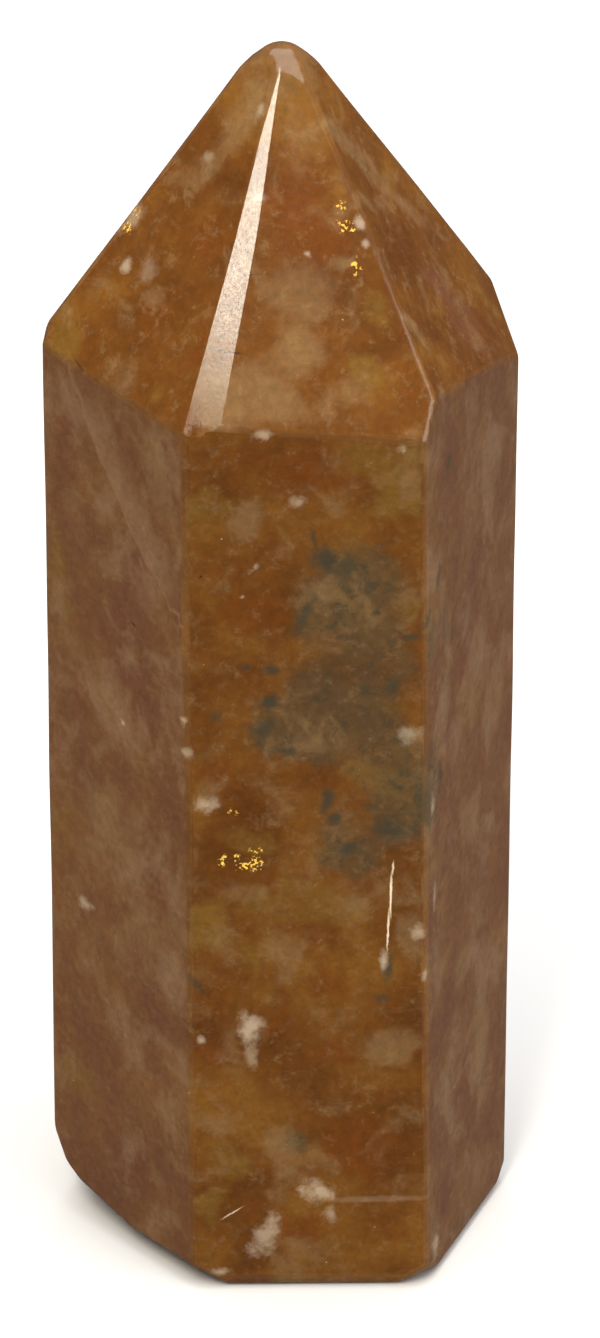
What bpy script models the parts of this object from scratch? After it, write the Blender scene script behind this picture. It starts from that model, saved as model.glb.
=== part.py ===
"""Orchid calcite tower: a hand-cut, polished six-sided column with a six-faced point.

The stone is modelled the way it is cut. A sawn block is lapped against one flat plane after
another, each facet with its own direction and distance, so the column comes out a little
uneven like the real one. It stands on its flat foot. Units are metres and +Z is up. The origin
is the middle of the bottom of the bounding box.

Azimuths are in degrees round the column: 0 is the front (-Y) and 90 is the right (+X).
"""
import math

import bmesh
import bpy
from mathutils import Vector

MM = 0.001
NAME = "calcite_tower"

# The sawn block that the stone is cut from, in millimetres.
BLOCK_SIDE = 60.0
STONE_HEIGHT = 90.4

# Column facets: azimuth, lean back from upright in degrees, distance from the axis at the foot in mm.
COLUMN_FACETS = {
    "front": (0.8, -0.1, 14.2),
    "front_right": (67.3, 0.5, 14.96),
    "back_right": (124.0, -0.9, 13.6),
    "back": (180.0, 0.15, 15.2),
    "back_left": (247.9, 0.5, 14.5),
    "front_left": (312.0, -0.15, 14.38),
}

# Point facets: azimuth, slope from the horizontal in degrees, height where each crosses the axis in mm.
POINT_FACETS = {
    "front": (3.4, 59.6, 92.75),
    "front_right": (74.2, 59.3, 92.5),
    "back_right": (126.0, 56.3, 92.6),
    "back": (180.0, 56.5, 92.2),
    "back_left": (248.4, 57.6, 92.9),
    "front_left": (316.3, 58.0, 92.1),
}

# Two narrow facets where the lap slipped: azimuth, slope from the horizontal, distance from the axis
# and the height at which that distance holds, in mm.
SLIVER = (36.0, 86.0, 17.68, 60.4)
RIGHT_SHOULDER = (77.0, 61.2, 13.32, 70.4)

# Rounded tip: radius of the dome in mm, and rings of small laps as slope from the horizontal.
TIP_RADIUS = 2.0
TIP_RING_SLOPES = (20.0, 41.0)
TIP_RING_COUNT = 8

# Foot bevels: azimuth, slope from the horizontal in degrees, distance from the axis in mm where each
# bevel meets the foot plane.
FOOT_BEVELS = {
    "front": (0.8, 58.0, 13.6),
    "front_left": (312.0, 41.0, 12.0),
    "left_corner_upper": (280.0, 74.0, 15.0),
    "left_corner": (282.0, 50.0, 12.75),
    "left_corner_front": (298.0, 44.0, 11.95),
    "front_left_corner": (338.0, 46.0, 14.2),
    "front_right": (67.3, 50.0, 14.4),
    "front_right_corner": (38.0, 48.0, 15.75),
    "right_corner": (96.0, 60.0, 15.2),
    "back_right": (124.0, 45.0, 12.8),
    "back": (180.0, 45.0, 14.2),
    "back_left": (247.9, 45.0, 13.4),
}

# Worn edges: the widths of the narrow flats that round each edge, in mm, and the least angle
# between two facets that gets one, in degrees.
EDGE_WEAR_WIDTHS = (0.5, 0.2)
EDGE_WEAR_LEAST_ANGLE = 8.0

STONE_COLOUR = (0.26, 0.085, 0.026, 1.0)
STONE_ROUGHNESS = 0.16
STONE_IOR = 1.6


def clear_objects():
    for old in list(bpy.data.objects):
        bpy.data.objects.remove(old, do_unlink=True)


def facing(azimuth, slope):
    """The outward direction of a plane at this azimuth and slope from the horizontal."""
    turn = math.radians(azimuth)
    lean = math.radians(slope)
    return Vector((math.sin(turn) * math.sin(lean), -math.cos(turn) * math.sin(lean), math.cos(lean)))


def point_at(azimuth, distance, height):
    """The point at this distance from the axis and this height, from millimetres to metres."""
    turn = math.radians(azimuth)
    return Vector((math.sin(turn) * distance, -math.cos(turn) * distance, height)) * MM


def sawn_block():
    """A tall block standing on z = 0, as tall as the stone."""
    block = bmesh.new()
    bmesh.ops.create_cube(block, size=1.0)
    bmesh.ops.scale(block, vec=Vector((BLOCK_SIDE, BLOCK_SIDE, STONE_HEIGHT)) * MM, verts=block.verts)
    bmesh.ops.translate(block, vec=Vector((0.0, 0.0, STONE_HEIGHT / 2.0)) * MM, verts=block.verts)
    return block


def lap(stone, point, normal):
    """Grind everything beyond a plane away and close the stone with one flat facet."""
    geometry = list(stone.verts) + list(stone.edges) + list(stone.faces)
    cut = bmesh.ops.bisect_plane(
        stone, geom=geometry, dist=1e-7, plane_co=point, plane_no=normal, clear_outer=True
    )
    rim = [item for item in cut["geom_cut"] if isinstance(item, bmesh.types.BMEdge)]
    if len(rim) > 2:
        bmesh.ops.contextual_create(stone, geom=rim)
    stone.normal_update()


def lap_column(stone):
    for azimuth, lean, distance in COLUMN_FACETS.values():
        lap(stone, point_at(azimuth, distance, 0.0), facing(azimuth, 90.0 - lean))


def lap_point(stone):
    for azimuth, slope, crossing in POINT_FACETS.values():
        lap(stone, point_at(azimuth, 0.0, crossing), facing(azimuth, slope))


def lap_slips(stone):
    for azimuth, slope, distance, height in (SLIVER, RIGHT_SHOULDER):
        lap(stone, point_at(azimuth, distance, height), facing(azimuth, slope))


def lap_tip(stone):
    """Small laps tangent to a dome just under the top."""
    centre = point_at(0.0, 0.0, STONE_HEIGHT - TIP_RADIUS)
    for ring, slope in enumerate(TIP_RING_SLOPES):
        for step in range(TIP_RING_COUNT):
            azimuth = 360.0 * (step + 0.5 * ring) / TIP_RING_COUNT
            normal = facing(azimuth, slope)
            lap(stone, centre + normal * TIP_RADIUS * MM, normal)


def lap_foot(stone):
    """Bevels round the foot, facing down and out."""
    for azimuth, slope, distance in FOOT_BEVELS.values():
        lap(stone, point_at(azimuth, distance, 0.0), facing(azimuth, 180.0 - slope))


def wear_edges(stone, width):
    """Take each edge off with a narrow flat of this width, set square between its two facets."""
    flats = []
    for edge in stone.edges:
        angle = edge.calc_face_angle()
        if math.degrees(angle) < EDGE_WEAR_LEAST_ANGLE:
            continue
        first, second = edge.link_faces
        normal = (first.normal + second.normal).normalized()
        depth = width * MM / 2.0 * math.tan(angle / 2.0)
        flats.append((edge.verts[0].co - normal * depth, normal))
    for point, normal in flats:
        lap(stone, point, normal)


def centre_over_origin(stone):
    """Move the stone so that the middle of its bounding box stands over the origin."""
    middle = Vector((0.0, 0.0, 0.0))
    for axis in (0, 1):
        places = [vert.co[axis] for vert in stone.verts]
        middle[axis] = (min(places) + max(places)) / 2.0
    bmesh.ops.translate(stone, vec=-middle, verts=stone.verts)


def calcite():
    material = bpy.data.materials.new("calcite")
    material.use_nodes = True
    shader = material.node_tree.nodes["Principled BSDF"]
    shader.inputs["Base Color"].default_value = STONE_COLOUR
    shader.inputs["Roughness"].default_value = STONE_ROUGHNESS
    shader.inputs["Metallic"].default_value = 0.0
    shader.inputs["IOR"].default_value = STONE_IOR
    material.diffuse_color = STONE_COLOUR
    return material


def calcite_tower():
    stone = sawn_block()
    lap_column(stone)
    lap_point(stone)
    lap_slips(stone)
    lap_tip(stone)
    lap_foot(stone)
    for width in EDGE_WEAR_WIDTHS:
        wear_edges(stone, width)
    bmesh.ops.remove_doubles(stone, verts=stone.verts, dist=0.002 * MM)
    bmesh.ops.recalc_face_normals(stone, faces=stone.faces)
    centre_over_origin(stone)
    mesh = bpy.data.meshes.new(NAME)
    stone.to_mesh(mesh)
    stone.free()
    mesh.materials.append(calcite())
    return bpy.data.objects.new(NAME, mesh)


def build():
    clear_objects()
    collection = bpy.data.collections.new("orchid_calcite_tower")
    bpy.context.scene.collection.children.link(collection)
    collection.objects.link(calcite_tower())


build()
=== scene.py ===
"""The looks of the orchid calcite tower: its fine surface, its stone, the floor, light and camera.

Units are metres unless a name ends in _MM. Azimuths are in degrees round the column: 0 is the
front (-Y) and 90 is the right (+X). Marks in the stone are placed where the photograph shows
them: a ray through the named pixel finds the spot on the stone that carries the mark.
"""
import math
import random

import bmesh
import bpy
import numpy as np
from mathutils import Matrix, Vector, noise
from mathutils.bvhtree import BVHTree


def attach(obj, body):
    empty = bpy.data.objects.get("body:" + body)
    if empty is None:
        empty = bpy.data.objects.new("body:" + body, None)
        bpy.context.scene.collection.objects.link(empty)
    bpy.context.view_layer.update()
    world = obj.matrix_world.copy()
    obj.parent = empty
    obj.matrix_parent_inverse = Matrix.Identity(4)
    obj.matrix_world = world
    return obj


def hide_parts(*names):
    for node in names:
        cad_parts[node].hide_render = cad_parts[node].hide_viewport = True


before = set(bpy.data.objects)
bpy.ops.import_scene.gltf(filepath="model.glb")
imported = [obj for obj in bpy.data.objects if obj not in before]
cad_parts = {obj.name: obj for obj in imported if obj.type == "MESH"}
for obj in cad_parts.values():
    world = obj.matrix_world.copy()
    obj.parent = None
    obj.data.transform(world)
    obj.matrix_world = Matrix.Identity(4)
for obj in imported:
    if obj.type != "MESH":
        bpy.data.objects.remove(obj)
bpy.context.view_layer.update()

MM = 0.001
NODE = "calcite_tower"
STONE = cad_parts[NODE]

# The photograph's frame in pixels, and the camera that sees the stone as it does.
PHOTO_WIDTH = 600
PHOTO_HEIGHT = 1338
SENSOR_MM = 36.0
LENS_MM = 174.9
CAMERA_ELEVATION = 28.3
CAMERA_DISTANCE = 458.0 * MM
CAMERA_TARGET = Vector((1.39, -0.39, 42.8)) * MM
NEAREST_SEEN = 0.01

# The lamps: name, azimuth, elevation, distance, width, height, radiance and colour.
WARM = (1.0, 0.93, 0.78)
NEUTRAL = (1.0, 1.0, 1.0)
LAMPS = (
    ("key", -17.0, 48.6, 0.9, 0.19, 0.36, 20.0, WARM),
    ("fill", 62.0, 15.0, 0.9, 0.5, 0.7, 2.9, NEUTRAL),
    ("overhead", 0.0, 89.0, 1.0, 1.3, 1.3, 2.8, NEUTRAL),
)
WORLD_LOWER = (0.16, 0.13, 0.12, 1.0)
WORLD_UPPER = (0.32, 0.31, 0.29, 1.0)
WORLD_UPPER_FROM = 0.9
FLOOR_GREY = (0.86, 0.86, 0.86, 1.0)
FLOOR_ROUGHNESS = 0.9
FLOOR_HALF = 3.0
FLOOR_DROP = 0.02 * MM

# The flat beside the ridge: the azimuth and slope that it faces, and two photo pixels on its right
# border.
RIDGE_FLAT_FACING = (-9.0, 59.2)
RIDGE_FLAT_BORDER = ((262, 182), (226, 395))
LONG_RIM = 2.0 * MM
RIM_WEAR = 0.06 * MM

# The mesh.
OUTSIDE_MM = 100.0
WELD = 1e-6
ON_PLANE = 1e-7
SAME_PLANE_DEGREES = 0.4
WORN_WIDTH_MM = 0.36
CELL = 0.83 * MM
SLIVER = 0.004 * MM
MARK_CELL = 0.24 * MM
MARK_HALVINGS = 3
MARK_MARGIN_MM = 0.5
TINY = 1e-9
FAR = 1.0

# How the lapped ridges and facets stray from true.
RIDGE_BOW_MM = 0.28
RIDGE_BOW_LOW = 69.0 * MM
RIDGE_BOW_HIGH = 91.0 * MM
RIDGE_BOW_FRONT = 8.0 * MM
RIDGE_BOW_SIDE = 13.0 * MM
CROWN = 0.036
CROWN_MIDDLE = 76.0 * MM
CROWN_HALF = 10.0 * MM
UNEVENNESS_MM = 0.05
UNEVENNESS_SIZE = 9.0 * MM
TRUE_FOOT = 1.5 * MM

# How zones and marks fill the stone. A zone's end and fade are shares of its half size.
ZONE_DEPTH_MM = 2.5
ZONE_END = 1.45
ZONE_FADE = 0.9
MARK_DEPTH_MM = 1.2
WANDERING = ((4.0 * MM, 1.3), (1.6 * MM, 0.6))

# Which facets count as one facet, as the point and as the sides, by their normals.
SAME_FACET = 0.9
SLOPING = 0.3
FRONTAL = 0.9
SIDE_FADE = 0.2


def facing(azimuth, slope):
    """The outward direction of a plane at this azimuth and slope from the horizontal."""
    turn = math.radians(azimuth)
    lean = math.radians(slope)
    return Vector((math.sin(turn) * math.sin(lean), -math.cos(turn) * math.sin(lean), math.cos(lean)))


def linear(red, green, blue):
    """A linear colour from display values of 0 to 255."""
    values = []
    for value in (red, green, blue):
        share = value / 255.0
        values.append(share / 12.92 if share <= 0.04045 else ((share + 0.055) / 1.055) ** 2.4)
    return (*values, 1.0)


# Camera

def add_camera():
    data = bpy.data.cameras.new("camera")
    data.sensor_width = SENSOR_MM
    data.lens = LENS_MM
    data.clip_start = NEAREST_SEEN
    camera = bpy.data.objects.new("camera", data)
    bpy.context.scene.collection.objects.link(camera)
    back = facing(0.0, 90.0 - CAMERA_ELEVATION)
    camera.location = CAMERA_TARGET + back * CAMERA_DISTANCE
    camera.rotation_euler = back.to_track_quat("Z", "Y").to_euler()
    bpy.context.scene.camera = camera
    bpy.context.view_layer.update()
    return camera


class StoneMap:
    """Finds the place on the stone behind a pixel of the photograph."""

    def __init__(self, camera):
        self.eye = camera.location.copy()
        self.turn = camera.matrix_world.to_3x3()
        self.pixels = LENS_MM / SENSOR_MM * PHOTO_HEIGHT
        corners = [vert.co for vert in STONE.data.vertices]
        facets = [facet.vertices for facet in STONE.data.polygons]
        self.tree = BVHTree.FromPolygons(corners, facets)

    def place(self, x, y):
        """The point and the outward normal of the stone behind the pixel."""
        ray = Vector((x - PHOTO_WIDTH / 2, PHOTO_HEIGHT / 2 - y, -self.pixels))
        point, normal, _, _ = self.tree.ray_cast(self.eye, (self.turn @ ray).normalized())
        if point is None:
            raise ValueError(f"pixel {x}, {y} is off the stone")
        return point, normal

    def place_round(self, azimuth, height):
        """The point and the outward normal of the stone at this azimuth and height in mm."""
        out = facing(azimuth, 90.0)
        start = out * OUTSIDE_MM * MM + Vector((0.0, 0.0, height * MM))
        point, normal, _, _ = self.tree.ray_cast(start, -out)
        return point, normal

    @staticmethod
    def axes(normal, lean):
        """Axes across, into and up a facet, leaning this many degrees right."""
        across = Vector((0.0, 0.0, 1.0)).cross(normal).normalized()
        up = normal.cross(across)
        axes = Matrix((across, -normal, up)).transposed()
        return axes @ Matrix.Rotation(math.radians(lean), 3, "Y")


# Marks in the stone. Each row is photo x, photo y, width and height in mm, lean to the right in
# degrees, and strength from 0 to 1.

DEEP_ZONES = (
    (330, 470, 10.0, 3.6, 0, 1.0),
    (232, 462, 4.0, 2.4, 0, 0.6),
    (217, 560, 1.8, 1.2, 60, 0.9),
    (258, 546, 3.0, 1.1, 60, 0.7),
    (402, 570, 3.2, 1.2, 55, 1.0),
    (285, 500, 5.0, 1.6, 80, 0.5),
    (253, 612, 4.6, 3.6, 0, 0.9),
    (221, 780, 4.0, 3.0, 0, 0.8),
    (307, 929, 3.6, 1.8, 0, 0.7),
    (326, 979, 2.6, 3.4, 10, 0.9),
    (279, 1020, 1.8, 2.4, 0, 0.8),
    (336, 1057, 3.0, 2.6, 0, 0.8),
    (366, 1146, 6.4, 5.4, 0, 1.0),
    (209, 1006, 2.2, 2.0, 0, 0.7),
    (216, 1052, 3.0, 2.8, 0, 0.8),
    (300, 1229, 4.0, 3.2, 0, 1.0),
    (253, 1211, 1.0, 3.2, 12, 0.8),
    (395, 1228, 4.4, 2.0, 0, 0.6),
    (300, 209, 5.2, 7.0, 0, 0.9),
    (331, 240, 3.0, 2.4, 0, 0.8),
    (209, 237, 3.4, 5.0, 15, 0.8),
    (205, 340, 1.8, 6.6, 14, 1.0),
    (158, 327, 2.2, 3.8, 10, 0.7),
    (407, 330, 1.6, 4.0, -20, 0.9),
    (408, 380, 1.8, 3.4, -15, 0.7),
)

ROSE_ZONES = (
    (457, 311, 3.6, 8.6, -18, 1.0),
    (430, 225, 2.6, 6.0, -25, 0.5),
    (128, 620, 5.0, 15.0, 5, 0.8),
    (140, 700, 4.6, 6.0, 0, 0.9),
    (78, 697, 3.0, 8.0, 0, 0.6),
    (66, 440, 3.0, 8.0, 0, 0.6),
    (160, 880, 3.0, 6.0, 0, 0.5),
    (132, 1166, 3.6, 5.0, 0, 1.0),
    (112, 1137, 2.2, 2.0, 0, 0.9),
    (155, 1009, 3.4, 5.0, 0, 0.8),
    (470, 611, 3.0, 10.0, 20, 0.9),
    (452, 755, 3.4, 8.0, 5, 0.9),
    (449, 480, 2.4, 9.0, 0, 0.7),
    (447, 1006, 3.2, 5.0, 10, 0.9),
    (462, 1090, 1.6, 9.0, 14, 0.7),
    (448, 1192, 3.0, 5.0, 10, 1.0),
)

YELLOW_ZONES = (
    (380, 462, 5.6, 4.0, 0, 0.8),
    (395, 505, 4.4, 3.8, 0, 0.9),
    (207, 515, 4.0, 3.4, 0, 0.7),
    (412, 611, 2.2, 2.2, 0, 0.9),
    (390, 704, 3.4, 2.2, 0, 0.7),
    (381, 777, 3.6, 2.6, 0, 0.7),
    (240, 844, 4.2, 2.0, 0, 0.7),
    (209, 925, 3.4, 4.4, 0, 1.0),
    (260, 985, 5.0, 2.0, 70, 0.5),
    (221, 1159, 2.8, 3.6, 0, 0.8),
    (214, 1203, 3.0, 2.4, 0, 1.0),
    (366, 372, 3.6, 2.2, 60, 1.0),
    (384, 301, 2.6, 4.0, -20, 0.6),
    (158, 390, 2.2, 1.6, 0, 0.9),
    (60, 338, 4.4, 3.2, 60, 0.8),
    (60, 570, 2.4, 9.0, 0, 0.8),
    (64, 820, 2.0, 7.0, 0, 0.6),
    (80, 1070, 4.8, 4.6, 0, 0.8),
    (76, 978, 2.2, 6.0, 0, 0.5),
    (489, 300, 1.6, 5.0, -10, 0.8),
    (290, 90, 4.0, 5.0, 0, 0.5),
    (300, 905, 9.0, 3.6, 0, 0.7),
    (250, 950, 5.0, 3.0, 0, 0.6),
)

MILKY_AND_SHEEN_ZONES = (
    (253, 520, 2.6, 2.8, 20, 0.9),
    (403, 487, 2.0, 3.6, 20, 0.7),
    (301, 292, 5.6, 4.6, 0, 0.7),
    (302, 350, 2.8, 3.8, 20, 0.9),
    (343, 260, 1.6, 1.1, 0, 0.9),
    # Painted sheen: this row paints the pinkish sheen below the highlight on the front point facet.
    (240, 392, 6.0, 5.6, 0, 0.9),
    (320, 410, 7.0, 3.0, 0, 0.5),
    (243, 110, 3.4, 4.6, 20, 0.8),
    (205, 165, 3.0, 6.0, 35, 0.6),
    (300, 140, 2.6, 6.0, -15, 0.4),
    (345, 145, 2.0, 9.0, -35, 0.7),
    (390, 190, 2.2, 9.0, -35, 0.7),
    (282, 1143, 3.0, 4.6, 0, 0.9),
    (277, 1186, 2.0, 2.4, 0, 0.8),
    (403, 1124, 1.6, 2.4, 0, 0.7),
    (218, 1122, 1.8, 1.6, 0, 0.8),
    (394, 1045, 3.6, 3.0, 0, 1.0),
    (409, 929, 2.2, 4.6, 0, 0.8),
    (345, 900, 3.0, 2.2, 0, 0.7),
    (250, 895, 5.0, 2.0, 0, 0.7),
    (290, 960, 6.0, 1.2, 80, 0.5),
    (340, 1020, 3.0, 5.0, 20, 0.5),
    (215, 792, 2.6, 1.8, 0, 0.8),
    (255, 775, 2.2, 1.6, 0, 0.5),
    (110, 820, 6.4, 5.0, 0, 0.8),
    (135, 935, 4.6, 5.6, 0, 0.8),
    (170, 900, 2.0, 8.0, 0, 0.6),
    (160, 480, 3.0, 9.0, -15, 0.9),
    (72, 520, 3.0, 6.0, 0, 0.6),
    (115, 385, 5.0, 3.4, 60, 0.5),
    (470, 818, 3.6, 4.6, 0, 0.8),
    (478, 680, 1.6, 8.0, 20, 0.7),
    (465, 960, 3.4, 4.0, 0, 0.9),
    (480, 1035, 3.4, 7.0, 0, 0.9),
    (480, 450, 2.4, 8.0, 5, 0.6),
    (440, 420, 1.6, 6.0, 0, 0.7),
    (418, 335, 1.0, 7.6, -22, 1.0),
    (440, 400, 1.2, 2.6, 0, 0.8),
)

GREY_ZONES = (
    (352, 600, 8.0, 8.4, 0, 1.0),
    (335, 715, 9.4, 8.0, 0, 0.9),
    (385, 660, 4.6, 5.4, 0, 0.7),
    (390, 760, 5.0, 6.6, 0, 0.6),
    (345, 850, 5.6, 4.0, 0, 0.9),
    (278, 738, 3.6, 3.2, 0, 0.9),
    (429, 640, 2.4, 5.0, 0, 0.8),
    (430, 790, 2.6, 7.0, 0, 0.9),
    (300, 1140, 2.0, 2.2, 0, 0.8),
    (386, 968, 1.4, 2.4, 0, 0.9),
    (402, 800, 4.2, 7.0, 0, 0.9),
)

# Crisp marks, drawn at the surface.
GREEN_MARKS = (
    (327, 560, 1.6, 1.5, 0, 1.0),
    (345, 566, 2.4, 1.6, 30, 0.8),
    (314, 540, 1.4, 0.3, 75, 0.7),
    (305, 614, 0.6, 2.0, 25, 0.8),
    (300, 628, 0.7, 1.0, 0, 0.5),
    (427, 621, 0.5, 1.5, 25, 1.0),
    (413, 637, 1.3, 0.5, 0, 0.9),
    (378, 613, 0.34, 0.34, 0, 1.0),
    (247, 667, 0.4, 0.4, 0, 0.9),
    (271, 670, 1.0, 0.6, 0, 0.9),
    (269, 702, 1.3, 1.0, 0, 1.0),
    (215, 717, 0.9, 0.9, 0, 0.5),
    (264, 729, 1.0, 1.4, 20, 0.8),
    (285, 751, 1.2, 0.5, 0, 0.9),
    (252, 730, 0.9, 0.7, 0, 0.5),
    (392, 688, 0.8, 1.1, 0, 1.0),
    (363, 690, 0.6, 0.7, 0, 0.6),
    (327, 801, 0.7, 1.9, 12, 1.0),
    (334, 818, 0.9, 0.7, -30, 0.9),
    (400, 788, 0.4, 0.4, 0, 0.9),
    (425, 800, 1.2, 4.0, 0, 0.8),
    (441, 772, 0.8, 1.8, 0, 0.7),
    (389, 831, 2.0, 1.5, 30, 0.9),
    (346, 849, 1.6, 0.9, 0, 0.9),
    (448, 465, 0.8, 1.2, 25, 0.8),
    (438, 579, 0.7, 1.6, 20, 0.8),
    (452, 637, 0.5, 0.9, 0, 0.8),
    (443, 625, 0.8, 3.0, 0, 0.5),
    (196, 984, 0.6, 1.7, -35, 0.7),
    (381, 998, 0.7, 0.7, 0, 0.8),
    (388, 968, 0.5, 1.0, 0, 0.7),
    (301, 1143, 1.2, 1.4, 0, 0.35),
)

WHITE_MARKS = (
    (207, 804, 1.1, 0.9, 0, 0.9),
    (251, 1029, 1.2, 1.9, 0, 1.0),
    (251, 1056, 0.7, 1.6, 0, 0.5),
    (318, 1191, 1.9, 1.3, 15, 1.0),
    (331, 1214, 0.6, 1.2, -15, 0.6),
    (265, 1236, 1.3, 2.8, 20, 0.8),
    (127, 266, 0.7, 0.8, 0, 0.9),
    (148, 270, 1.3, 1.5, 0, 0.35),
    (264, 434, 0.9, 0.5, 0, 0.8),
    (86, 904, 1.3, 0.8, 0, 0.7),
    (201, 1040, 0.55, 0.55, 0, 0.9),
    (159, 1073, 0.45, 0.5, 0, 0.9),
    (222, 1272, 1.0, 0.5, 0, 0.8),
    (436, 1246, 1.0, 1.5, 0, 0.7),
    (384, 960, 0.45, 1.2, 0, 1.0),
    (419, 933, 0.8, 1.0, 0, 0.8),
    (425, 975, 0.35, 0.8, 0, 0.9),
    (435, 894, 0.5, 1.8, 0, 0.6),
    (307, 254, 0.5, 0.4, 0, 1.0),
    (360, 223, 0.5, 0.7, 0, 1.0),
    (365, 244, 0.35, 0.5, 0, 0.8),
    (258, 198, 0.9, 0.6, 0, 0.9),
    (260, 111, 0.5, 0.7, 0, 0.8),
    (297, 502, 0.8, 0.7, 0, 0.6),
    (256, 567, 0.35, 0.4, 0, 1.0),
    (242, 597, 0.3, 0.3, 0, 1.0),
    (408, 735, 1.4, 1.0, 0, 0.6),
    (433, 806, 0.5, 1.2, 0, 0.6),
    (403, 449, 0.3, 0.5, 0, 0.8),
    (185, 720, 0.5, 0.4, 0, 0.8),
    (186, 752, 0.7, 0.6, 0, 0.7),
    (123, 723, 0.3, 0.35, 0, 0.8),
    (207, 158, 0.9, 0.7, 0, 0.5),
    (132, 219, 1.0, 1.8, 30, 0.6),
)

# Painted glints: golden flecks painted where cleavage planes inside the stone flash with reflected light.
PAINTED_GLINT_MARKS = (
    (222, 861, 0.5, 1.0, 10, 1.0),
    (243, 866, 0.9, 0.5, 0, 1.0),
    (256, 864, 0.8, 1.1, 0, 1.0),
    (237, 857, 0.6, 0.5, 0, 0.9),
    (255, 850, 0.9, 0.4, 0, 0.9),
    (233, 812, 0.7, 0.5, 0, 0.6),
    (349, 226, 1.2, 0.8, 0, 1.0),
    (356, 268, 0.6, 0.9, 0, 0.9),
    (340, 209, 0.6, 1.0, 20, 0.9),
    (134, 213, 0.9, 0.9, 30, 0.9),
    (127, 226, 0.9, 0.7, 40, 0.9),
)

# Bright hair cracks and dark ones: thin leaves of air that cut the surface.
BRIGHT_CRACKS = (
    (391, 895, 0.16, 3.2, 1, 1.0),
    (388, 930, 0.14, 3.0, 2, 0.9),
    (393, 868, 0.14, 1.0, 3, 0.8),
    (232, 1213, 0.12, 1.6, 55, 0.6),
    (378, 1199, 7.0, 0.5, -1, 0.08),
)
DARK_CRACKS = (
    (227, 352, 1.9, 0.14, 10, 0.9),
    (243, 276, 1.5, 0.12, -5, 0.7),
    (79, 365, 1.2, 0.14, 25, 0.8),
    (134, 624, 0.5, 0.16, 10, 0.8),
    (201, 577, 0.3, 0.16, -30, 0.8),
)

# The sharp rim of a pale veil inside the left facet, as photo pixels from its top to its foot.
VEIL_RIM = ((86, 423), (100, 463), (116, 496), (133, 539), (153, 576))

# The kinds of zones and marks: name, table, and how many more the unseen sides get, with their
# least and greatest width in mm.
ZONE_KINDS = (
    ("deep", DEEP_ZONES, 16, 2.5, 8.0),
    ("rose", ROSE_ZONES, 8, 2.0, 5.0),
    ("yellow", YELLOW_ZONES, 12, 2.0, 6.0),
    ("milky_and_sheen", MILKY_AND_SHEEN_ZONES, 26, 1.5, 5.5),
    ("grey", GREY_ZONES, 5, 3.0, 8.0),
)
MARK_KINDS = (
    ("green", GREEN_MARKS, 16, 0.4, 1.8),
    ("white", WHITE_MARKS, 14, 0.4, 1.3),
    ("painted_glint", PAINTED_GLINT_MARKS, 4, 0.5, 1.0),
)
UNSEEN_SEED = 7
UNSEEN_AZIMUTHS = (96.0, 282.0)
UNSEEN_HEIGHTS = (4.0, 84.0)
UNSEEN_LEANS = (-40.0, 40.0)
UNSEEN_TALLNESS = (0.5, 1.8)
UNSEEN_STRENGTHS = (0.5, 1.0)

AMBER_TONES = (linear(93, 51, 7), linear(107, 63, 13), linear(123, 80, 23))
DEEP = linear(108, 56, 6)
# A pale tone for the veil inside the left facet, and also for the painted sheen on the side facets.
PALE_VEIL_AND_SIDE_SHEEN = linear(146, 115, 86)
ROSE = linear(106, 64, 42)
YELLOW = linear(121, 88, 30)
# A cloudy pale tone for clouds and wisps in the stone, also used for painted sheen and the painted paler
# edges.
MILKY_AND_SHEEN = linear(138, 109, 70)
GREY = linear(84, 74, 48)
# The side facets' tone: painted sheen, for the hazy reflection that these facets show.
PAINTED_SIDE_SHEEN = linear(119, 83, 51)
GREEN = linear(54, 54, 40)
WHITE = linear(190, 172, 146)
# The colour of the painted glints.
PAINTED_GLINT_GOLD = linear(250, 205, 90)
CRACK_LIGHT = linear(235, 215, 180)
CRACK_DARK = linear(60, 30, 16)

# Each kind of zone with its tint and the most of it that shows.
ZONE_TINTS = (
    ("deep", DEEP, 0.7),
    ("yellow", YELLOW, 0.75),
    ("rose", ROSE, 0.6),
    ("grey", GREY, 0.6),
    ("milky_and_sheen", MILKY_AND_SHEEN, 0.55),
)

# The noises in the stone: features per mm, detail, roughness and distortion.
CLOUDS = (0.13, 3.0, 0.55, 0.5)
BREAKUP = (0.45, 5.0, 0.62, 0.8)
WISPS = (0.3, 5.0, 0.62, 0.5)
THREADS = (0.9, 5.0, 0.72, 0.25)
STREAKS = (0.24, 6.0, 0.58, 0.4)
MOTTLING = (1.6, 4.0, 0.65, 0.5)
MOSS = (0.75, 5.0, 0.74, 0.6)
SPECKS = (3.2, 1.0, 0.5, 0.0)
FRAYING = (1.1, 5.0, 0.65, 0.0)
FINE_FRAYING = (2.8, 4.0, 0.65, 0.0)
PAINTED_GLINT_SPECKS = (4.5, 2.0, 0.5, 0.0)
SCRATCHES = (1.2, 5.0, 0.7, 0.3)

# How the stone is drawn: how far inside its layers lie, its refraction, scattering and polish.
DEEP_LAYER_MM = 6.0
MIDDLE_LAYER_MM = 2.5
STREAK_STRETCH = (1.0, 1.0, 0.7)
SCRATCH_STRETCH = (6.0, 6.0, 0.35)
CRACK_WAVINESS = 0.25
CRACK_SOFTNESS = 0.5
REFRACTION = 1.55
SCATTER_WEIGHT = 0.5
SCATTER_RADIUS = (1.0, 0.5, 0.2)
SCATTER_SCALE = 1.0 * MM
SMOOTHEST = 0.1
ROUGHEST = 0.25
BUMP_STRENGTH = 0.25
BUMP_HEIGHT = 0.014 * MM


# The stone's mesh

def cut(stone, through, direction, **options):
    """Cut the whole mesh with a plane through a point."""
    geometry = list(stone.verts) + list(stone.edges) + list(stone.faces)
    return bmesh.ops.bisect_plane(
        stone, geom=geometry, dist=ON_PLANE, plane_co=through, plane_no=direction, **options
    )


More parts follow.
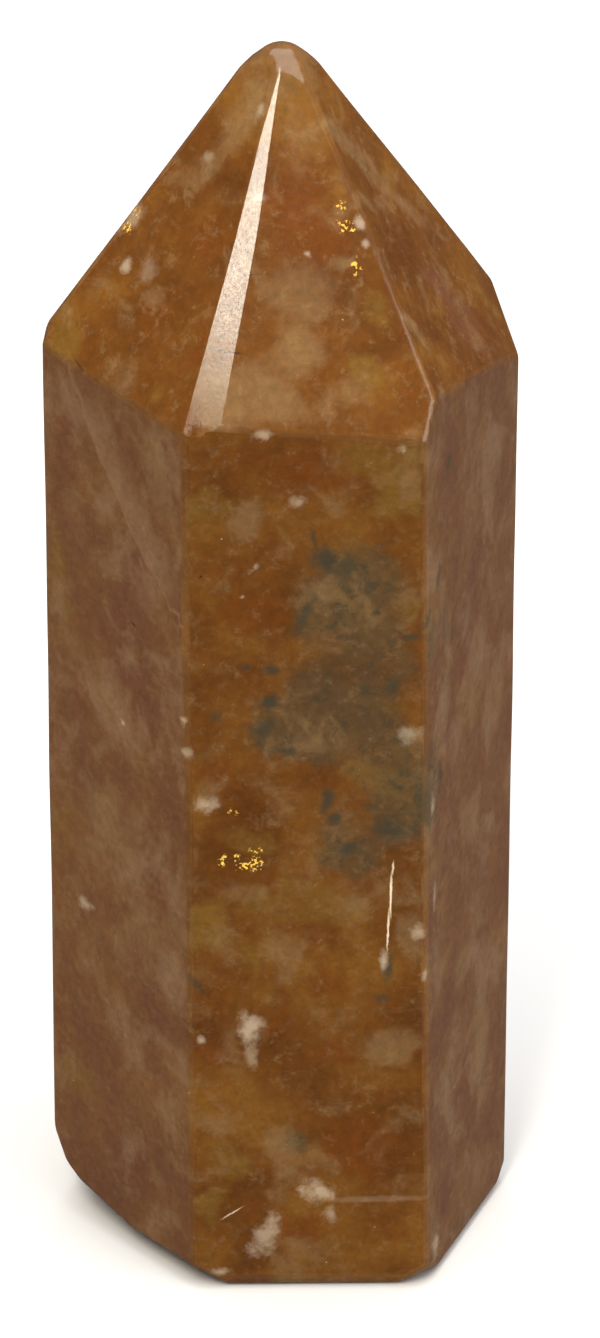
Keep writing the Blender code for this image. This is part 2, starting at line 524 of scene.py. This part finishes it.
def cut_ridge_flat(stone, stone_map):
    """A polished flat beside the left ridge of the front point facet, as wide as its border says."""
    upper, _ = stone_map.place(*RIDGE_FLAT_BORDER[0])
    lower, _ = stone_map.place(*RIDGE_FLAT_BORDER[1])
    along = (upper - lower).normalized()
    wanted = facing(*RIDGE_FLAT_FACING)
    outward = (wanted - along * wanted.dot(along)).normalized()
    left = cut(stone, lower, outward, clear_outer=True)
    rim = [item for item in left["geom_cut"] if isinstance(item, bmesh.types.BMEdge)]
    bmesh.ops.contextual_create(stone, geom=rim)
    bmesh.ops.bevel(
        stone,
        geom=[edge for edge in rim if edge.calc_length() > LONG_RIM],
        offset=RIM_WEAR,
        segments=1,
        profile=0.5,
        affect="EDGES",
        clamp_overlap=True,
    )


def grid_cuts(stone):
    """Cut every facet into small cells with level and upright planes, a step apart."""
    for axis in range(3):
        places = [vert.co[axis] for vert in stone.verts]
        normal = Vector((0.0, 0.0, 0.0))
        normal[axis] = 1.0
        first = math.floor(min(places) / CELL) + 1
        last = math.ceil(max(places) / CELL)
        for step in range(first, last):
            cut(stone, normal * step * CELL, normal)


def halve(edge):
    """Split an edge at its middle, and each triangle beside it from there to its far corner."""
    faces = list(edge.link_faces)
    _, middle = bmesh.utils.edge_split(edge, edge.verts[0], 0.5)
    for face in faces:
        corner = next(loop for loop in face.loops if loop.vert == middle)
        bmesh.utils.face_split(face, middle, corner.link_loop_next.link_loop_next.vert)


def refine_near_marks(stone, spots):
    """Halve the cells near each crisp mark a few times, so that its outline can be drawn there."""
    rings = []
    for centre, _, _, width, height, _ in spots:
        rings.append((centre, (max(width, height) / 2.0 + MARK_MARGIN_MM) * MM))
    for _ in range(MARK_HALVINGS):
        close = [
            edge
            for edge in stone.edges
            if edge.calc_length() > MARK_CELL
            and any((edge.verts[0].co - centre).length < reach for centre, reach in rings)
        ]
        for edge in sorted(close, key=lambda edge: edge.calc_length(), reverse=True):
            halve(edge)


def is_worn(face):
    """Whether a facet is one of the narrow flats of a worn edge."""
    return 2.0 * face.calc_area() / face.calc_perimeter() < WORN_WIDTH_MM * MM


def stone_mesh(stone_map, spots):
    stone = bmesh.new()
    stone.from_mesh(STONE.data)
    bmesh.ops.remove_doubles(stone, verts=stone.verts, dist=WELD)
    same_plane = math.radians(SAME_PLANE_DEGREES)
    bmesh.ops.dissolve_limit(stone, angle_limit=same_plane, verts=stone.verts, edges=stone.edges)
    cut_ridge_flat(stone, stone_map)
    worn = stone.faces.layers.int.new("worn")
    for face in stone.faces:
        face[worn] = int(is_worn(face))
    grid_cuts(stone)
    bmesh.ops.dissolve_degenerate(stone, dist=SLIVER, edges=stone.edges)
    bmesh.ops.triangulate(stone, faces=stone.faces, quad_method="SHORT_EDGE", ngon_method="EAR_CLIP")
    refine_near_marks(stone, spots)
    bmesh.ops.recalc_face_normals(stone, faces=stone.faces)
    mesh = bpy.data.meshes.new("stone")
    stone.to_mesh(mesh)
    stone.free()
    return mesh


def lap_unevenly(mesh):
    """Bow the front ridges of the point a little to the right, and make every facet slightly uneven."""
    for vert in mesh.vertices:
        place = vert.co.copy()
        rise = (place.z - RIDGE_BOW_LOW) / (RIDGE_BOW_HIGH - RIDGE_BOW_LOW)
        if 0.0 < rise < 1.0 and place.y < 0.0:
            front = min(1.0, -place.y / RIDGE_BOW_FRONT) * max(0.0, 1.0 - abs(place.x) / RIDGE_BOW_SIDE)
            vert.co.x += RIDGE_BOW_MM * MM * math.sin(math.pi * rise) * front
        if place.z > TRUE_FOOT:
            shift = noise.noise_vector(place / UNEVENNESS_SIZE)
            vert.co += shift * UNEVENNESS_MM * MM


def facet_normals(mesh):
    """Vertex normals that keep each large facet flat and roll over on the worn edges."""
    worn = np.zeros(len(mesh.polygons), dtype=np.int32)
    mesh.attributes["worn"].data.foreach_get("value", worn)
    corners = np.zeros(len(mesh.polygons) * 3, dtype=np.int32)
    mesh.polygons.foreach_get("vertices", corners)
    corners = corners.reshape(-1, 3)
    areas = np.zeros(len(mesh.polygons))
    mesh.polygons.foreach_get("area", areas)
    directions = np.zeros(len(mesh.polygons) * 3)
    mesh.polygons.foreach_get("normal", directions)
    directions = directions.reshape(-1, 3) * areas[:, None]
    flat = np.zeros((len(mesh.vertices), 3))
    rolled = np.zeros((len(mesh.vertices), 3))
    for corner in range(3):
        np.add.at(flat, corners[worn == 0, corner], directions[worn == 0])
        np.add.at(rolled, corners[:, corner], directions)
    on_facet = np.linalg.norm(flat, axis=1) > 0.0
    normals = np.where(on_facet[:, None], flat, rolled)
    return normals / np.linalg.norm(normals, axis=1)[:, None], on_facet


def seen(rows, stone_map):
    """The spots on the stone that a table of marks stands for."""
    spots = []
    for x, y, width, height, lean, strength in rows:
        centre, normal = stone_map.place(x, y)
        spots.append((centre, normal, stone_map.axes(normal, lean), width, height, strength))
    return spots


def unseen(count, least, most, stone_map, chance):
    """Spots of the same kind on the sides that the photograph doesn't show."""
    spots = []
    for _ in range(count):
        azimuth = chance.uniform(*UNSEEN_AZIMUTHS)
        centre, normal = stone_map.place_round(azimuth, chance.uniform(*UNSEEN_HEIGHTS))
        axes = stone_map.axes(normal, chance.uniform(*UNSEEN_LEANS))
        width = chance.uniform(least, most)
        height = width * chance.uniform(*UNSEEN_TALLNESS)
        spots.append((centre, normal, axes, width, height, chance.uniform(*UNSEEN_STRENGTHS)))
    return spots


def reach_in(places, spot, depth):
    """Each vertex's distance from the middle of a spot, where 1 is the spot's rim."""
    centre, _, axes, width, height, _ = spot
    local = (places - np.array(centre)) @ np.array(axes)
    local /= np.array((width / 2.0, depth, height / 2.0)) * MM
    return np.linalg.norm(local, axis=1)


def zone_mask(places, normals, spots):
    """How strongly each vertex lies in any of the zones, from 0 to 1."""
    clear = np.ones(len(places))
    for spot in spots:
        _, normal, _, _, _, strength = spot
        inside = np.clip((ZONE_END - reach_in(places, spot, ZONE_DEPTH_MM)) / ZONE_FADE, 0.0, 1.0)
        inside = inside * inside * (3.0 - 2.0 * inside)
        same_facet = (normals @ np.array(normal)) > SAME_FACET
        clear *= 1.0 - strength * inside * same_facet
    return 1.0 - clear


def crown_point(places, normals):
    """The normals, with the point's facets rolled over slightly from top to foot, as lapping leaves them."""
    crowned = normals.copy()
    rise = np.clip((places[:, 2] - CROWN_MIDDLE) / CROWN_HALF, -1.0, 1.0)
    crowned[:, 2] += CROWN * rise * point_mask(normals)
    return crowned / np.linalg.norm(crowned, axis=1)[:, None]


def point_mask(normals):
    """1 on the sloping facets of the point, and 0 elsewhere."""
    return (normals[:, 2] > SLOPING).astype(float)


def painted_sheen_side_mask(normals):
    """1 on the upright facets that look sideways, which are painted paler and rosier as painted sheen, and 0
    elsewhere.
    """
    level = np.linalg.norm(normals[:, :2], axis=1) + TINY
    sideways = np.clip((FRONTAL - np.abs(normals[:, 1]) / level) / SIDE_FADE, 0.0, 1.0)
    upright = np.clip(1.0 - np.abs(normals[:, 2]) / SLOPING, 0.0, 1.0)
    return sideways * upright


def veil_field(places, normals, stone_map):
    """Each vertex's distance in mm to the right of the veil's rim, negative to the left of it."""
    points = np.array([stone_map.place(x, y)[0] for x, y in VEIL_RIM])
    _, normal = stone_map.place(*VEIL_RIM[2])
    normal = np.array(normal)
    nearest = np.full(len(places), FAR)
    signed = np.full(len(places), -FAR)
    for start, end in zip(points, points[1:]):
        down = end - start
        share = np.clip((places - start) @ down / (down @ down), 0.0, 1.0)
        offset = places - start - share[:, None] * down
        distance = np.linalg.norm(offset, axis=1)
        nearer = distance < nearest
        nearest = np.where(nearer, distance, nearest)
        signed = np.where(nearer, distance * np.sign(offset @ np.cross(normal, down)), signed)
    return np.where(normals @ normal > SAME_FACET, signed, -FAR) / MM


def mark_field(places, spots):
    """Each vertex's depth inside the nearest mark, 1 at its middle and 0 at its rim, and its strength."""
    field = np.full(len(places), -1.0)
    power = np.zeros(len(places))
    for spot in spots:
        *_, strength = spot
        depth = 1.0 - reach_in(places, spot, MARK_DEPTH_MM)
        nearer = depth > field
        field = np.where(nearer, depth, field)
        power = np.where(nearer, strength, power)
    return field, power


def add_mask(mesh, name, values):
    mask = mesh.attributes.new(name, "FLOAT", "POINT")
    mask.data.foreach_set("value", values.astype(np.float32))


def wander(mesh):
    """The vertices' places, pushed about so that zones get irregular outlines."""
    places = []
    for vert in mesh.vertices:
        push = Vector((0.0, 0.0, 0.0))
        for size, shift in WANDERING:
            push += noise.noise_vector(vert.co / size) * shift
        places.append(vert.co + push * MM)
    return np.array(places)


def all_spots(kinds, stone_map, chance):
    """The spots of each kind, seen and unseen, by the kind's name."""
    spots = {}
    for name, rows, count, least, most in kinds:
        spots[name] = seen(rows, stone_map) + unseen(count, least, most, stone_map, chance)
    return spots


def build_stone(stone_map):
    chance = random.Random(UNSEEN_SEED)
    zones = all_spots(ZONE_KINDS, stone_map, chance)
    marks = all_spots(MARK_KINDS, stone_map, chance)
    mesh = stone_mesh(stone_map, [spot for spots in marks.values() for spot in spots])
    lap_unevenly(mesh)
    normals, on_facet = facet_normals(mesh)
    places = wander(mesh)
    for name, spots in zones.items():
        add_mask(mesh, name, zone_mask(places, normals, spots))
    places = np.array([vert.co for vert in mesh.vertices])
    for name, spots in marks.items():
        field, power = mark_field(places, spots)
        add_mask(mesh, name, field)
        add_mask(mesh, name + "_strength", power)
    add_mask(mesh, "veil", veil_field(places, normals, stone_map))
    # The side mask places the painted sheen of the side facets.
    add_mask(mesh, "side", painted_sheen_side_mask(normals))
    add_mask(mesh, "point", point_mask(normals))
    add_mask(mesh, "edge", 1.0 - on_facet.astype(float))
    mesh.shade_smooth()
    mesh.normals_split_custom_set_from_vertices([tuple(n) for n in crown_point(places, normals)])
    stone = bpy.data.objects.new("stone", mesh)
    bpy.context.scene.collection.objects.link(stone)
    return stone


# Materials

class Wiring:
    """Short calls for making and joining a material's nodes."""

    def __init__(self, material):
        material.use_nodes = True
        self.tree = material.node_tree
        self.shader = self.tree.nodes["Principled BSDF"]

    def node(self, kind, **settings):
        made = self.tree.nodes.new(kind)
        for name, value in settings.items():
            setattr(made, name, value)
        return made

    def put(self, socket, value):
        if isinstance(value, bpy.types.NodeSocket):
            self.tree.links.new(value, socket)
        else:
            socket.default_value = value

    def math(self, operation, first, second):
        made = self.node("ShaderNodeMath", operation=operation)
        self.put(made.inputs[0], first)
        self.put(made.inputs[1], second)
        return made.outputs[0]

    def vector(self, operation, first, second=None):
        made = self.node("ShaderNodeVectorMath", operation=operation)
        self.put(made.inputs[0], first)
        if operation == "SCALE":
            self.put(made.inputs[3], second)
        elif second is not None:
            self.put(made.inputs[1], second)
        return made.outputs["Value" if operation == "LENGTH" else "Vector"]

    def noise(self, vector, scale, detail, roughness, distortion):
        made = self.node("ShaderNodeTexNoise")
        self.put(made.inputs["Vector"], vector)
        made.inputs["Scale"].default_value = scale
        made.inputs["Detail"].default_value = detail
        made.inputs["Roughness"].default_value = roughness
        made.inputs["Distortion"].default_value = distortion
        return made

    def step(self, value, low, high, to_low=0.0, to_high=1.0):
        made = self.node("ShaderNodeMapRange", interpolation_type="SMOOTHSTEP")
        self.put(made.inputs["Value"], value)
        made.inputs["From Min"].default_value = low
        made.inputs["From Max"].default_value = high
        made.inputs["To Min"].default_value = to_low
        made.inputs["To Max"].default_value = to_high
        return made.outputs["Result"]

    def mix(self, factor, first, second, blend="MIX"):
        made = self.node("ShaderNodeMix", data_type="RGBA", blend_type=blend)
        self.put(made.inputs["Factor"], factor)
        self.put(made.inputs[6], first)
        self.put(made.inputs[7], second)
        return made.outputs[2]

    def mask(self, name):
        made = self.node("ShaderNodeAttribute", attribute_name=name)
        return made.outputs["Fac"]

    def mark(self, name, fray, softness):
        """How strongly a kind of crisp mark shows, from its field on the mesh."""
        inside = self.step(self.math("ADD", self.mask(name), fray), -softness, softness)
        return self.math("MULTIPLY", inside, self.mask(name + "_strength"))


def hair_marks(wiring, place, marks, stone_map):
    """One mask for a few hair-thin marks, each a long squashed ball in the stone at its named place."""
    total = None
    for centre, _, axes, width, height, strength in seen(marks, stone_map):
        local = wiring.node("ShaderNodeMapping", vector_type="TEXTURE")
        wiring.put(local.inputs["Vector"], place)
        local.inputs["Location"].default_value = centre / MM
        local.inputs["Rotation"].default_value = axes.to_euler("XYZ")
        local.inputs["Scale"].default_value = (width / 2.0, MARK_DEPTH_MM, height / 2.0)
        reach = wiring.vector("LENGTH", local.outputs["Vector"])
        mark = wiring.step(reach, 1.0 + CRACK_SOFTNESS, 1.0 - CRACK_SOFTNESS, 0.0, strength)
        total = mark if total is None else wiring.math("MAXIMUM", total, mark)
    return total


def spread(wiring, noise_value, width):
    """A noise moved to lie about 0, and spread to this width."""
    return wiring.math("MULTIPLY", wiring.math("SUBTRACT", noise_value, 0.5), width)


def amber_clouds_and_side_sheen(wiring, place):
    """Clouds of amber, made duller on the side facets by painted sheen."""
    tone = wiring.noise(place, *CLOUDS).outputs["Fac"]
    ramp = wiring.node("ShaderNodeValToRGB")
    wiring.put(ramp.inputs["Fac"], tone)
    ramp.color_ramp.elements[0].position = 0.36
    ramp.color_ramp.elements[0].color = AMBER_TONES[0]
    ramp.color_ramp.elements[1].position = 0.64
    ramp.color_ramp.elements[1].color = AMBER_TONES[2]
    middle = ramp.color_ramp.elements.new(0.5)
    middle.color = AMBER_TONES[1]
    # Painted sheen: the side facets painted toward a duller tone.
    return wiring.mix(wiring.math("MULTIPLY", wiring.mask("side"), 0.6), ramp.outputs["Color"], PAINTED_SIDE_SHEEN)


def add_zones(wiring, colour, ragged):
    """The named zones, their outlines broken up by fine cloudiness."""
    for name, tint, most in ZONE_TINTS:
        amount = wiring.step(wiring.math("ADD", wiring.mask(name), ragged), 0.15, 1.0, to_high=most)
        colour = wiring.mix(amount, colour, tint)
    return colour


def add_wisps(wiring, colour, place, middle_place):
    """Milky wisps at two depths and sizes."""
    wisps = wiring.noise(middle_place, *WISPS).outputs["Fac"]
    colour = wiring.mix(wiring.step(wisps, 0.5, 0.74, to_high=0.5), colour, MILKY_AND_SHEEN)
    threads = wiring.noise(place, *THREADS).outputs["Fac"]
    return wiring.mix(wiring.step(threads, 0.52, 0.74, to_high=0.5), colour, MILKY_AND_SHEEN)


def add_side_streaks_and_painted_sheen(wiring, colour, place):
    """Pale streaks and rosy patches, painted on the side facets only, as painted sheen."""
    side = wiring.mask("side")
    stretched = wiring.vector("MULTIPLY", place, STREAK_STRETCH)
    streaks = wiring.noise(stretched, *STREAKS).outputs["Fac"]
    # Painted sheen: paler and rosier streaks on the side facets.
    pale = wiring.math("MULTIPLY", wiring.step(streaks, 0.46, 0.7, to_high=0.6), side)
    colour = wiring.mix(pale, colour, PALE_VEIL_AND_SIDE_SHEEN)
    rosy = wiring.math("MULTIPLY", wiring.step(streaks, 0.52, 0.32, to_high=0.5), side)
    return wiring.mix(rosy, colour, ROSE)


def add_veil(wiring, colour, ragged):
    """The veil: sharp along its rim, fading to the right."""
    veil = wiring.math("ADD", wiring.mask("veil"), wiring.math("MULTIPLY", ragged, 0.6))
    veil_rim = wiring.step(veil, -0.06, 0.1)
    veil_fade = wiring.step(veil, 3.6, 0.0, to_high=0.42)
    return wiring.mix(wiring.math("MULTIPLY", veil_rim, veil_fade), colour, PALE_VEIL_AND_SIDE_SHEEN)


def add_mottling_and_painted_glow(wiring, colour, place):
    """Fine mottling, and painted light: the point's facets painted brighter and the column darker, a painted
    glow for the light that shines through the thin stone.
    """
    mottle = wiring.noise(place, *MOTTLING).outputs["Fac"]
    shade = wiring.step(mottle, 0.25, 0.75, to_low=0.84, to_high=1.14)
    colour = wiring.mix(1.0, colour, shade, "MULTIPLY")
    # Painted light: the sloping facets of the point painted lighter than the column, as a painted glow.
    glow = wiring.step(wiring.mask("point"), 0.0, 1.0, to_low=0.84, to_high=1.05)
    return wiring.mix(1.0, colour, glow, "MULTIPLY")


def add_moss_and_specks(wiring, colour, place):
    """A mossy network in the grey zones, and sparse pale specks everywhere."""
    network = wiring.noise(place, *MOSS).outputs["Fac"]
    moss = wiring.math("MULTIPLY", wiring.step(network, 0.52, 0.64, to_high=0.6), wiring.mask("grey"))
    colour = wiring.mix(moss, colour, GREEN)
    specks = wiring.noise(place, *SPECKS).outputs["Fac"]
    return wiring.mix(wiring.step(specks, 0.8, 0.88, to_high=0.4), colour, CRACK_LIGHT)


def add_marks(wiring, colour, place, stone_map):
    """Crisp marks with frayed rims, painted glints, hair cracks, and edges painted paler as painted light.
    """
    fray = spread(wiring, wiring.noise(place, *FRAYING).outputs["Fac"], 3.4)
    green = wiring.math("MULTIPLY", wiring.mark("green", fray, 0.9), 0.85)
    colour = wiring.mix(green, colour, GREEN)
    white = wiring.math("MULTIPLY", wiring.mark("white", fray, 0.9), 0.7)
    colour = wiring.mix(white, colour, WHITE)
    fine_noise = wiring.noise(place, *FINE_FRAYING)
    fine_fray = spread(wiring, fine_noise.outputs["Fac"], 3.0)
    # Painted glints: golden flecks painted in, broken into specks.
    painted_glint_specks = wiring.step(wiring.noise(place, *PAINTED_GLINT_SPECKS).outputs["Fac"], 0.5, 0.6)
    painted_glint = wiring.math("MULTIPLY", wiring.mark("painted_glint", fine_fray, 0.3), painted_glint_specks)
    colour = wiring.mix(painted_glint, colour, PAINTED_GLINT_GOLD)
    fine_push = wiring.vector("SUBTRACT", fine_noise.outputs["Color"], (0.5, 0.5, 0.5))
    wavy = wiring.vector("ADD", place, wiring.vector("SCALE", fine_push, CRACK_WAVINESS))
    colour = wiring.mix(hair_marks(wiring, wavy, BRIGHT_CRACKS, stone_map), colour, CRACK_LIGHT)
    colour = wiring.mix(hair_marks(wiring, wavy, DARK_CRACKS, stone_map), colour, CRACK_DARK)
    # Painted light: the rolled edges painted paler, for the light that they catch.
    return wiring.mix(wiring.math("MULTIPLY", wiring.mask("edge"), 0.12), colour, MILKY_AND_SHEEN)


def polish(wiring, place):
    """Fine scratches, mostly up and down, and faint ripples."""
    shader = wiring.shader
    stretched = wiring.vector("MULTIPLY", place, SCRATCH_STRETCH)
    scratches = wiring.noise(stretched, *SCRATCHES).outputs["Fac"]
    roughness = wiring.step(scratches, 0.35, 0.7, to_low=SMOOTHEST, to_high=ROUGHEST)
    wiring.put(shader.inputs["Roughness"], roughness)
    bump = wiring.node("ShaderNodeBump")
    bump.inputs["Strength"].default_value = BUMP_STRENGTH
    bump.inputs["Distance"].default_value = BUMP_HEIGHT
    wiring.put(bump.inputs["Height"], scratches)
    wiring.put(shader.inputs["Normal"], bump.outputs["Normal"])


def stone_material(stone_map):
    material = bpy.data.materials.new("orchid_calcite")
    wiring = Wiring(material)
    coordinates = wiring.node("ShaderNodeTexCoord").outputs["Object"]
    place = wiring.vector("SCALE", coordinates, 1.0 / MM)
    flat = wiring.node("ShaderNodeNewGeometry").outputs["True Normal"]
    deep_place = wiring.vector("SUBTRACT", place, wiring.vector("SCALE", flat, DEEP_LAYER_MM))
    middle_place = wiring.vector("SUBTRACT", place, wiring.vector("SCALE", flat, MIDDLE_LAYER_MM))
    colour = amber_clouds_and_side_sheen(wiring, deep_place)
    ragged = spread(wiring, wiring.noise(place, *BREAKUP).outputs["Fac"], 1.1)
    colour = add_zones(wiring, colour, ragged)
    colour = add_wisps(wiring, colour, place, middle_place)
    colour = add_side_streaks_and_painted_sheen(wiring, colour, place)
    colour = add_veil(wiring, colour, ragged)
    colour = add_mottling_and_painted_glow(wiring, colour, place)
    colour = add_moss_and_specks(wiring, colour, place)
    colour = add_marks(wiring, colour, place, stone_map)
    shader = wiring.shader
    wiring.put(shader.inputs["Base Color"], colour)
    shader.inputs["IOR"].default_value = REFRACTION
    shader.inputs["Subsurface Weight"].default_value = SCATTER_WEIGHT
    shader.inputs["Subsurface Radius"].default_value = SCATTER_RADIUS
    shader.inputs["Subsurface Scale"].default_value = SCATTER_SCALE
    polish(wiring, place)
    return material


def floor_material():
    material = bpy.data.materials.new("floor")
    wiring = Wiring(material)
    wiring.shader.inputs["Base Color"].default_value = FLOOR_GREY
    wiring.shader.inputs["Roughness"].default_value = FLOOR_ROUGHNESS
    wiring.shader.inputs["Specular IOR Level"].default_value = 0.0
    return material


def add_floor():
    mesh = bpy.data.meshes.new("floor")
    sheet = bmesh.new()
    bmesh.ops.create_grid(sheet, x_segments=1, y_segments=1, size=FLOOR_HALF)
    sheet.to_mesh(mesh)
    sheet.free()
    mesh.materials.append(floor_material())
    floor = bpy.data.objects.new("floor", mesh)
    floor.location.z = -FLOOR_DROP
    floor.visible_glossy = False
    bpy.context.scene.collection.objects.link(floor)


def add_light(name, azimuth, elevation, distance, width, height, radiance, colour):
    """A soft rectangular lamp of this radiance, aimed at the stone's middle."""
    data = bpy.data.lights.new(name, "AREA")
    data.shape = "RECTANGLE"
    data.size = width
    data.size_y = height
    data.energy = radiance * math.pi * width * height
    data.color = colour
    lamp = bpy.data.objects.new(name, data)
    away = facing(azimuth, 90.0 - elevation)
    lamp.location = CAMERA_TARGET + away * distance
    lamp.rotation_euler = away.to_track_quat("Z", "Y").to_euler()
    bpy.context.scene.collection.objects.link(lamp)


def add_world():
    world = bpy.data.worlds.new("studio")
    world.use_nodes = True
    tree = world.node_tree
    background = tree.nodes["Background"]
    coordinates = tree.nodes.new("ShaderNodeTexCoord")
    height = tree.nodes.new("ShaderNodeSeparateXYZ")
    tree.links.new(coordinates.outputs["Generated"], height.inputs["Vector"])
    ramp = tree.nodes.new("ShaderNodeValToRGB")
    ramp.color_ramp.elements[0].position = 0.0
    ramp.color_ramp.elements[0].color = WORLD_LOWER
    ramp.color_ramp.elements[1].position = WORLD_UPPER_FROM
    ramp.color_ramp.elements[1].color = WORLD_UPPER
    tree.links.new(height.outputs["Z"], ramp.inputs["Fac"])
    tree.links.new(ramp.outputs["Color"], background.inputs["Color"])
    bpy.context.scene.world = world


def main():
    camera = add_camera()
    stone_map = StoneMap(camera)
    stone = build_stone(stone_map)
    stone.data.materials.append(stone_material(stone_map))
    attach(stone, "root")
    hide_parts(NODE)
    add_floor()
    for lamp in LAMPS:
        add_light(*lamp)
    add_world()
    bpy.context.scene.view_settings.view_transform = "Standard"


main()
